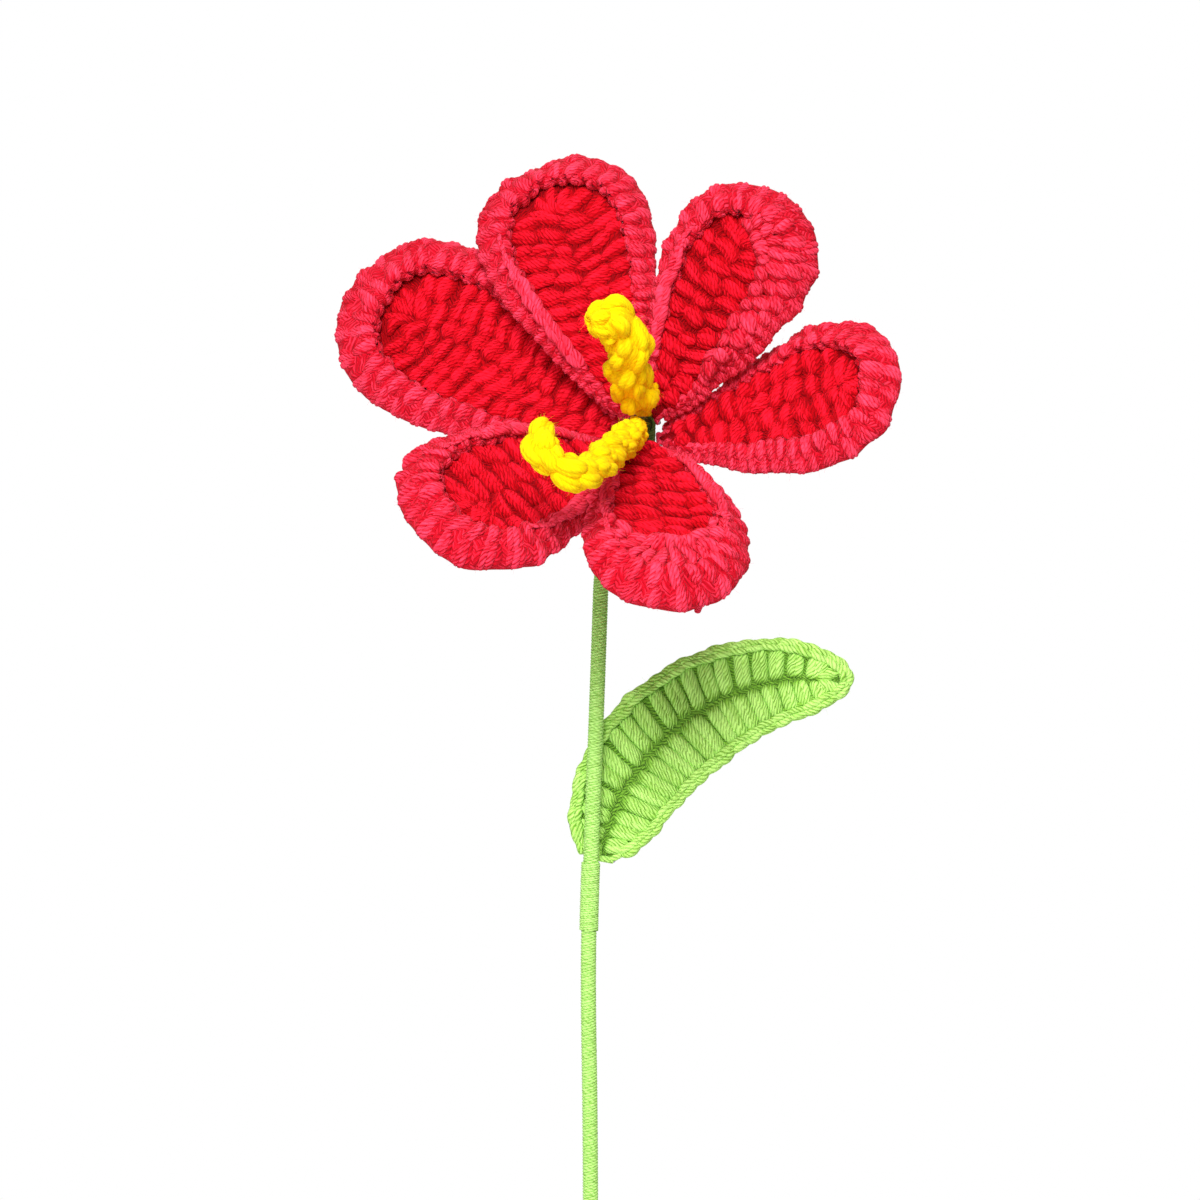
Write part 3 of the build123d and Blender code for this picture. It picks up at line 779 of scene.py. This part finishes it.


# Materials

# The crease colour is painted shade, reached where the depth attribute marks a crease.
def yarn_material(name, crease, deep, light, sheen, relief, twist):
    """Yarn: fine fibres and soft plies along each strand, with painted shade in creases and between plies,
    and a little sheen.
    """
    made = bpy.data.materials.new(name)
    made.use_nodes = True
    nodes, links = made.node_tree.nodes, made.node_tree.links
    nodes.clear()

    def node(kind, **values):
        found = nodes.new(kind)
        for key, value in values.items():
            setattr(found, key, value)
        return found

    def math(operation, first, second=None):
        found = node("ShaderNodeMath", operation=operation)
        for socket, value in zip(found.inputs, (first, second)):
            if isinstance(value, (int, float)):
                socket.default_value = value
            elif value is not None:
                links.new(value, socket)
        return found.outputs[0]

    def mixed(first, a, second, b):
        return math("ADD", math("MULTIPLY", first, float(a)), math("MULTIPLY", second, float(b)))

    def noise(x, y, z, detail):
        place = node("ShaderNodeCombineXYZ")
        for socket, value in zip(place.inputs, (x, y, z)):
            links.new(value, socket)
        found = node("ShaderNodeTexNoise", noise_dimensions="3D")
        found.inputs["Scale"].default_value = 1.0
        found.inputs["Detail"].default_value = detail
        found.inputs["Roughness"].default_value = 0.65
        links.new(place.outputs[0], found.inputs["Vector"])
        return found.outputs[0]

    split = node("ShaderNodeSeparateXYZ")
    links.new(node("ShaderNodeUVMap", uv_map="yarn").outputs[0], split.inputs[0])
    along, around = split.outputs[0], split.outputs[1]
    tone = node("ShaderNodeAttribute", attribute_name="tone").outputs["Fac"]
    layer = math("MULTIPLY", tone, 61.0)
    stray = noise(math("MULTIPLY", around, 0.5), math("MULTIPLY", along, 0.35), layer, 1.0)
    phase = mixed(along, np.sin(PLY_SLANT) / PLY, around, np.cos(PLY_SLANT) / PLY)
    phase = math("ADD", phase, math("MULTIPLY", stray, 1.6))
    ply = math("POWER", math("ABSOLUTE", math("SINE", math("MULTIPLY", phase, float(np.pi)))), 0.75)
    fibre = noise(math("MULTIPLY", phase, 2.2), math("MULTIPLY", along, 0.5), layer, 2.0)

    # Painted shade: the depth attribute darkens creases toward the crease colour, and the grooves between
    # plies are painted darker.
    depth = node("ShaderNodeAttribute", attribute_name="depth").outputs["Fac"]
    shade = math("ADD", mixed(ply, twist, fibre, 0.86 - 0.65 * twist), mixed(tone, 0.16, depth, -0.32))
    ramp = node("ShaderNodeValToRGB")
    ramp.color_ramp.elements.new(0.42)
    for element, position, colour in zip(ramp.color_ramp.elements, (0.1, 0.42, 0.72), (crease, deep, light)):
        element.position = position
        element.color = (*colour, 1)
    links.new(shade, ramp.inputs[0])

    bump = node("ShaderNodeBump")
    bump.inputs["Strength"].default_value = 0.9
    bump.inputs["Distance"].default_value = relief * MM
    links.new(mixed(ply, 2 * twist, fibre, 0.7), bump.inputs["Height"])

    shader = node("ShaderNodeBsdfPrincipled")
    shader.inputs["Roughness"].default_value = 0.95
    shader.inputs["Specular IOR Level"].default_value = 0.1
    shader.inputs["Sheen Weight"].default_value = 0.16
    shader.inputs["Sheen Roughness"].default_value = 0.5
    shader.inputs["Sheen Tint"].default_value = (*sheen, 1)
    links.new(ramp.outputs[0], shader.inputs["Base Color"])
    links.new(bump.outputs[0], shader.inputs["Normal"])
    links.new(shader.outputs[0], node("ShaderNodeOutputMaterial").inputs[0])
    return made


def wire_material():
    """Drawn steel wire with fine streaks."""
    made = bpy.data.materials.new("drawn_wire")
    made.use_nodes = True
    nodes, links = made.node_tree.nodes, made.node_tree.links
    shader = nodes["Principled BSDF"]
    shader.inputs["Metallic"].default_value = 1.0
    shader.inputs["Base Color"].default_value = (0.42, 0.42, 0.44, 1)
    noise = nodes.new("ShaderNodeTexNoise")
    noise.inputs["Scale"].default_value = 900.0
    spread = nodes.new("ShaderNodeMapRange")
    spread.inputs["To Min"].default_value = 0.25
    spread.inputs["To Max"].default_value = 0.5
    links.new(noise.outputs[0], spread.inputs["Value"])
    links.new(spread.outputs[0], shader.inputs["Roughness"])
    bump = nodes.new("ShaderNodeBump")
    bump.inputs["Distance"].default_value = 0.05 * MM
    links.new(noise.outputs[0], bump.inputs["Height"])
    links.new(bump.outputs[0], shader.inputs["Normal"])
    return made


def floor_material():
    """Pale paper with a faint grain."""
    made = bpy.data.materials.new("pale_floor")
    made.use_nodes = True
    nodes, links = made.node_tree.nodes, made.node_tree.links
    grain = nodes.new("ShaderNodeTexNoise")
    grain.inputs["Scale"].default_value = 140.0
    tint = nodes.new("ShaderNodeValToRGB")
    tint.color_ramp.elements[0].color = (0.86, 0.86, 0.86, 1)
    tint.color_ramp.elements[1].color = (0.92, 0.92, 0.92, 1)
    links.new(grain.outputs[0], tint.inputs[0])
    links.new(tint.outputs[0], nodes["Principled BSDF"].inputs["Base Color"])
    nodes["Principled BSDF"].inputs["Roughness"].default_value = 0.9
    return made


# The red yarn comes in two copies: the panel's darker one is painted shade for the recessed panel, and the
# border's lighter, pinker one is painted light on the raised border.
red_panel_painted_shade = yarn_material(
    "red_panel_painted_shade_yarn", crease=(0.14, 0, 0.001), deep=(0.48, 0.0, 0.004), light=(1.0, 0.01, 0.035),
    sheen=(1.0, 0.05, 0.1), relief=0.4, twist=0.2)
red_border_painted_light = yarn_material(
    "red_border_painted_light_yarn", crease=(0.2, 0, 0.003), deep=(0.58, 0.002, 0.014), light=(1.0, 0.06, 0.13),
    sheen=(1.0, 0.25, 0.3), relief=0.4, twist=0.2)
yellow = yarn_material(
    "yellow_yarn", crease=(1.0, 0.48, 0.0), deep=(1.0, 0.66, 0.0), light=(1.0, 0.8, 0.004),
    sheen=(1.0, 0.8, 0.05), relief=0.35, twist=0.12)
leaf_green = yarn_material(
    "leaf_yarn", crease=(0.05, 0.15, 0.01), deep=(0.24, 0.52, 0.05), light=(0.56, 0.94, 0.22),
    sheen=(0.7, 1.0, 0.4), relief=0.45, twist=0.28)
stem_green = yarn_material(
    "stem_thread", crease=(0.2, 0.42, 0.05), deep=(0.24, 0.50, 0.07), light=(0.52, 0.85, 0.24),
    sheen=(0.8, 1.0, 0.6), relief=0.12, twist=0.25)
# A much darker copy of the stem's green thread, painted shade for the flower's dark centre.
base_green_painted_shade = yarn_material(
    "base_thread_painted_shade", crease=(0.01, 0.03, 0.004), deep=(0.02, 0.05, 0.008), light=(0.10, 0.20, 0.04),
    sheen=(0.5, 0.8, 0.3), relief=0.2, twist=0.25)
steel = wire_material()

# Petals
PETAL_WIRE_COVER, LEAF_WIRE_COVER = 0.78, 0.84
RIDGE_ANGLE = np.radians(128.0)
RIDGE_FROM, RIDGE_FULL, RIDGE_TO = 0.42, 0.62, 0.86
# Sides of the petals with a rope along the inner edge: clockwise (-1) or the other (1), seen from the front
ROPED = {"right": [], "upper_right": [1], "top": [1], "left": [], "lower_left": [-1, 1], "bottom": [-1, 1]}
# Folded or widened stretches of a border: from and to, in shares of the way round, and depth
FOLDS = {"bottom": (-0.5, 0.5, 8.5), "upper_right": (-0.82, 0.12, 5.0)}
LOOSE_END_AT = 0.12
# How far from the tip the panel's rows stop, plainly and where the tip is folded
TIP_ROOM, FOLDED_TIP_ROOM = 5.5, 11.5
for name, (azimuth, opening, bend, roll, size, seat) in PETALS.items():
    phi, psi, tilt = np.radians([azimuth, opening, roll])
    out, up = np.array([np.cos(phi), np.sin(phi), 0.0]), np.array([0.0, 0.0, 1.0])
    along = up * np.cos(psi) + out * np.sin(psi)
    face = up * np.sin(psi) - out * np.cos(psi)
    face = face * np.cos(tilt) - np.cross(face, along) * np.sin(tilt)
    axes = np.array([along, np.cross(face, along), face]) @ HEAD_AXES
    origin = head_to_world(out * PETAL_SEAT_RADIUS + up * seat)
    blade = Blade(origin, axes, bend, size, FULLER[name], GATHERED.get(name, NOT_FULLER), **PETAL_SHAPE)
    body = f"{name}_petal"
    room = FOLDED_TIP_ROOM if name == "bottom" else TIP_ROOM

    yarn = Yarn()
    sheet(blade, yarn, thick=0.9)
    panel_puffs(blade, yarn, pitch=4.4, slant=2.6, first=4.5, last=blade.tip - room, lump=5.6)
    yarn.soften(UNEVEN)
    yarn.fuzz(PANEL_FIBRES)
    yarn.mesh(f"{body}_panel_yarn", red_panel_painted_shade, body, "red_yarn", f"{body}_panel")

    yarn = Yarn()
    border_stitches(blade, yarn)
    if name in FOLDS:
        fold_band(blade, yarn, *FOLDS[name])
    if name == "bottom":
        loose_end(blade, yarn, LOOSE_END_AT)
    for side in ROPED[name]:
        g = side * np.linspace(RIDGE_FROM, RIDGE_TO, 90)
        line, normal = blade.border_line(g, RIDGE_ANGLE)
        grown = np.clip((np.abs(g) - RIDGE_FROM) / (RIDGE_FULL - RIDGE_FROM), 0.3, 1)
        scale = grown * np.clip(blade.border_half(g)[1] / 2.2, 0.4, 1.0)
        chain(yarn, line, normal, scale, pitch=4.8, strand_radius=1.2, spread=0.9)
    yarn.soften(UNEVEN)
    root_wrap(blade, yarn, PETAL_WIRE_COVER, f"{body}_wire")
    yarn.fuzz(BORDER_FIBRES)
    yarn.mesh(f"{body}_border_yarn", red_border_painted_light, body, "red_yarn", f"{body}_border")

# Leaf
LEAF_CHAIN_ANGLES = np.radians([75, -10, -90])
LEAF_CHAIN_SUNK = 0.5
leaf_axes = np.array([
    [np.cos(LEAF_RISE), 0, np.sin(LEAF_RISE)],
    [-np.sin(LEAF_RISE), 0, np.cos(LEAF_RISE)],
    [0, -1, 0],
])
leaf = Blade(LEAF_FOOT, leaf_axes, LEAF_BEND, 1.0, NOT_FULLER, NOT_FULLER, **LEAF_SHAPE)
yarn = Yarn()
sheet(leaf, yarn, thick=0.6)
panel_posts(leaf, yarn, pitch=4.1, slant=1.2, first=1.5, last=leaf.tip - 5.0)
yarn.soften(NEARLY_EVEN)
yarn.fuzz(LEAF_FIBRES)
yarn.mesh("leaf_panel_yarn", leaf_green, "leaf", "leaf_yarn", "leaf_panel")
yarn = Yarn()
g = np.linspace(-1, 1, 200)
rim_middle = leaf.rim_frame(g)[0]
yarn.strand(rim_middle, leaf.border_half(g)[0] - 0.5, sides=12, tone=0.0)
for theta in LEAF_CHAIN_ANGLES:
    line, normal = leaf.border_line(g, theta)
    sunk = line - normal * LEAF_CHAIN_SUNK
    chain(yarn, sunk, normal, np.ones(len(g)), pitch=4.2, strand_radius=0.95, spread=0.8)
yarn.soften(NEARLY_EVEN)
root_wrap(leaf, yarn, LEAF_WIRE_COVER, "leaf_wire")
yarn.fuzz(LEAF_FIBRES)
yarn.mesh("leaf_border_yarn", leaf_green, "leaf", "leaf_yarn", "leaf_border")

# Stamens
for name, (radius, lumps, around, route) in STAMENS.items():
    stamen(name, radius, lumps, around, route, yellow)

# Stem, flower base and bindings. The stem's core starts one step up, so that its end stays above the floor.
CORE_STEP = 2.0
BASE_INSET = 0.4
LEAF_BINDING_THREAD = 0.3
line = stem_line()
yarn = Yarn()
yarn.strand(evenly(line, CORE_STEP)[1:], STEM_RADIUS - 0.5, sides=16, tone=0.0)
wind(yarn, line, STEM_RADIUS, thread=0.4, starts=4, pitch=2.9)
yarn.mesh("stem_wrap_thread", stem_green, "stem", "stem_thread", "stem_wrap")

yarn = Yarn()
base_heights = np.linspace(BASE_BOTTOM + BASE_INSET, BASE_TOP - BASE_INSET, 30)
base_line = head_to_world([(0, 0, z) for z in base_heights])
yarn.strand(base_line, BASE_FOOT_RADIUS - 0.3, sides=16, tone=0.0)
wind(yarn, base_line, [BASE_FOOT_RADIUS] + [BASE_RADIUS] * 8, thread=0.5, starts=3, pitch=2.8)
yarn.mesh("flower_base_thread", base_green_painted_shade, "stem", "stem_thread", "flower_base")

yarn = Yarn()
neck_line = head_to_world([(0, 0, z) for z in np.linspace(*NECK_BINDING, 12)])
wind(yarn, neck_line, NECK_BINDING_RADIUS, thread=0.5, starts=1, pitch=1.5)
yarn.mesh("neck_binding_thread", stem_green, "stem", "stem_thread", "neck_binding")

yarn = Yarn()
low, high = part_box("leaf_binding")
tied = evenly(line, 0.5)
from_height, to_height = low.z / MM + LEAF_BINDING_THREAD, high.z / MM - LEAF_BINDING_THREAD
tied = tied[(tied[:, 2] > from_height) & (tied[:, 2] < to_height)]
wind(yarn, tied, LEAF_BINDING_RADIUS, thread=LEAF_BINDING_THREAD, starts=3, pitch=1.7)
yarn.mesh("leaf_binding_thread", stem_green, "stem", "stem_thread", "leaf_binding")

# Wires stay as CAD solids
for name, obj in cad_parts.items():
    if name.endswith("wire"):
        obj.data.materials.clear()
        obj.data.materials.append(steel)

# Floor, lights, background and camera
FLOOR_SIDE, FLOOR_HEIGHT = 0.9, -0.0005
bpy.ops.mesh.primitive_plane_add(size=FLOOR_SIDE, location=(0, 0, FLOOR_HEIGHT))
floor = bpy.context.object
floor.name = "floor"
floor.data.materials.append(floor_material())
floor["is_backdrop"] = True


def area_light(name, place, target, side, power):
    data = bpy.data.lights.new(name, "AREA")
    data.size = side
    data.energy = power
    lamp = bpy.data.objects.new(name, data)
    lamp.location = place
    lamp.rotation_euler = (Vector(target) - Vector(place)).to_track_quat("-Z", "Y").to_euler()
    bpy.context.scene.collection.objects.link(lamp)


FLOWER = (0.01, -0.02, 0.30)
area_light("key", (-0.05, -0.95, 0.85), FLOWER, side=0.45, power=15.0)
area_light("fill", (-0.7, -0.9, 0.3), FLOWER, side=0.9, power=4.0)
area_light("back", (0.2, 0.8, 0.9), FLOWER, side=0.8, power=6.0)

WORLD_LIGHT = 0.28
world = bpy.data.worlds.new("studio")
bpy.context.scene.world = world
world.use_nodes = True
sky = world.node_tree.nodes
sky["Background"].inputs["Color"].default_value = (1, 1, 1, 1)
sky["Background"].inputs["Strength"].default_value = WORLD_LIGHT
seen = sky.new("ShaderNodeBackground")
seen.inputs["Color"].default_value = (1, 1, 1, 1)
seen.inputs["Strength"].default_value = 1.0
rays = sky.new("ShaderNodeLightPath")
pick = sky.new("ShaderNodeMixShader")
world.node_tree.links.new(rays.outputs["Is Camera Ray"], pick.inputs[0])
world.node_tree.links.new(sky["Background"].outputs[0], pick.inputs[1])
world.node_tree.links.new(seen.outputs[0], pick.inputs[2])
world.node_tree.links.new(pick.outputs[0], sky["World Output"].inputs[0])

bpy.context.scene.view_settings.view_transform = "Standard"
CAMERA_PLACE = (0.0024, -0.6, 0.268)
lens = bpy.data.cameras.new("camera")
lens.sensor_width = 36.0
lens.lens = 72.0
camera = bpy.data.objects.new("camera", lens)
camera.location = CAMERA_PLACE
camera.rotation_euler = (np.pi / 2, 0, 0)
bpy.context.scene.collection.objects.link(camera)
bpy.context.scene.camera = camera

low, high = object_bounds()
